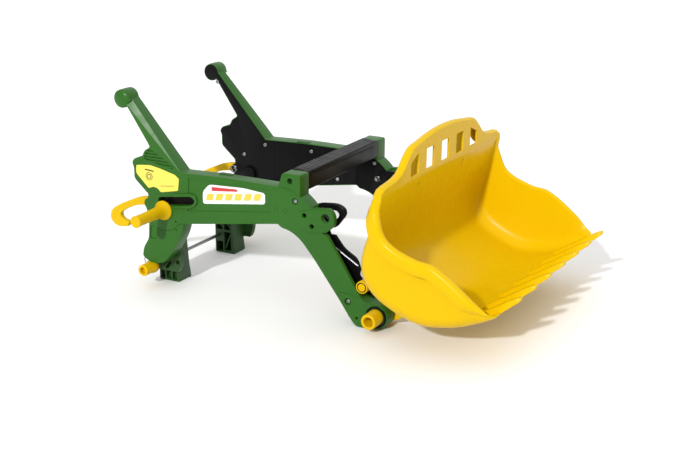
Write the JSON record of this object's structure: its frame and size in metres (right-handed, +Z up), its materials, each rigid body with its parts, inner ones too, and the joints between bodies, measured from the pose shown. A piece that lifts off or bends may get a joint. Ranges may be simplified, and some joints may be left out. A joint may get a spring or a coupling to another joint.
{
  "type": "toy front loader",
  "caption": "Toy front loader for a pedal tractor: two lift arms on mounting consoles, a crossbar and a toothed bucket that tips.",
  "frame": {"origin": "on the floor under the middle of the whole length and width", "axes": "+X forward, the way the bucket looks; +Y to the driver's left; +Z up"},
  "size_m": [0.7904, 0.489, 0.3443],
  "materials": {
    "green_plastic": "glossy moulded polyethylene, mid green",
    "black_plastic": "satin moulded plastic, black",
    "yellow_plastic": "glossy moulded plastic, warm yellow",
    "bucket_plastic": "glossy blow-moulded polyethylene, bright yellow",
    "zinc_steel": "bright zinc-plated steel"
  },
  "bodies": {
    "root": {"console_left": "green_plastic", "console_right": "green_plastic", "cross_rod": "zinc_steel", "foot_block_left": "green_plastic", "foot_block_right": "green_plastic", "foot_bolt_left": "zinc_steel", "foot_bolt_right": "zinc_steel", "lift_peg_left": "yellow_plastic", "lift_peg_right": "yellow_plastic", "lift_washer_left": "zinc_steel", "lift_washer_right": "zinc_steel"},
    "lift_frame": {"arm_plate_left": "black_plastic", "arm_plate_right": "black_plastic", "beam_plate_left": "black_plastic", "beam_plate_right": "black_plastic", "bucket_pin_left": "yellow_plastic", "bucket_pin_right": "yellow_plastic", "crossbar": "black_plastic", "crossbar_bolt_left": "zinc_steel", "crossbar_bolt_right": "zinc_steel", "crossbar_socket_left": "green_plastic", "crossbar_socket_right": "green_plastic", "handle_plate_left": "black_plastic", "handle_plate_right": "black_plastic", "hook_pin_left": "zinc_steel", "hook_pin_right": "zinc_steel", "latch_pin_left": "yellow_plastic", "latch_pin_right": "yellow_plastic", "loop_pin_left": "zinc_steel", "loop_pin_right": "zinc_steel", "loop_spring_left": "zinc_steel", "loop_spring_right": "zinc_steel", "plate_screw_left_1": "zinc_steel", "plate_screw_left_2": "zinc_steel", "plate_screw_left_3": "zinc_steel", "plate_screw_left_4": "zinc_steel", "plate_screw_left_5": "zinc_steel", "plate_screw_left_6": "zinc_steel", "plate_screw_right_1": "zinc_steel", "plate_screw_right_2": "zinc_steel", "plate_screw_right_3": "zinc_steel", "plate_screw_right_4": "zinc_steel", "plate_screw_right_5": "zinc_steel", "plate_screw_right_6": "zinc_steel", "side_shell_left": "green_plastic", "side_shell_right": "green_plastic"},
    "bucket": {"bucket": "bucket_plastic"},
    "release_loop_right": {"release_loop_right": "black_plastic"},
    "pull_rod_right": {"pull_rod_right": "zinc_steel"},
    "rear_hook_right": {"rear_hook_right": "yellow_plastic"},
    "rod_knob_right": {"rod_knob_right": "yellow_plastic"},
    "release_loop_left": {"release_loop_left": "black_plastic"},
    "pull_rod_left": {"pull_rod_left": "zinc_steel"},
    "rear_hook_left": {"rear_hook_left": "yellow_plastic"},
    "rod_knob_left": {"rod_knob_left": "yellow_plastic"}
  },
  "joints": [
    {"name": "lift", "type": "hinge", "parent": "root", "child": "lift_frame", "pos_m": [-0.2698, 0, 0.144], "axis": [0, -1, 0], "range_deg": [0, 30]},
    {"name": "bucket_tilt", "type": "hinge", "parent": "lift_frame", "child": "bucket", "pos_m": [0.1372, 0, 0.0228], "axis": [0, 1, 0], "range_deg": [0, 60]},
    {"name": "release_right", "type": "hinge", "parent": "lift_frame", "child": "release_loop_right", "pos_m": [0.0069, -0.1145, 0.1735], "axis": [0, -1, 0], "range_deg": [0, 12], "stiffness_Nm_per_rad": 0.5, "springref_deg": -5.73},
    {"name": "pull_right", "type": "slide", "parent": "lift_frame", "child": "pull_rod_right", "axis": [-0.8617, 0, 0.5074], "range_m": [0, 0.0044]},
    {"name": "hook_right", "type": "hinge", "parent": "lift_frame", "child": "rear_hook_right", "pos_m": [-0.3008, -0.1322, 0.1515], "axis": [0, 1, 0], "range_deg": [0, 35]},
    {"name": "knob_right", "type": "hinge", "parent": "root", "child": "rod_knob_right", "pos_m": [-0.3083, -0.148, 0.0335], "axis": [0, 1, 0], "continuous": true},
    {"name": "release_left", "type": "hinge", "parent": "lift_frame", "child": "release_loop_left", "pos_m": [0.0069, 0.1145, 0.1735], "axis": [0, -1, 0], "range_deg": [0, 12], "stiffness_Nm_per_rad": 0.5, "springref_deg": -5.73},
    {"name": "pull_left", "type": "slide", "parent": "lift_frame", "child": "pull_rod_left", "axis": [-0.8617, 0, 0.5074], "range_m": [0, 0.0044]},
    {"name": "hook_left", "type": "hinge", "parent": "lift_frame", "child": "rear_hook_left", "pos_m": [-0.3008, 0.1322, 0.1515], "axis": [0, 1, 0], "range_deg": [0, 35]},
    {"name": "knob_left", "type": "hinge", "parent": "root", "child": "rod_knob_left", "pos_m": [-0.3083, 0.148, 0.0335], "axis": [0, 1, 0], "continuous": true}
  ],
  "couplings": [
    {"joint": "pull_right", "follows": "release_right", "m_per_rad": 0.02},
    {"joint": "pull_left", "follows": "release_left", "m_per_rad": 0.02}
  ]
}
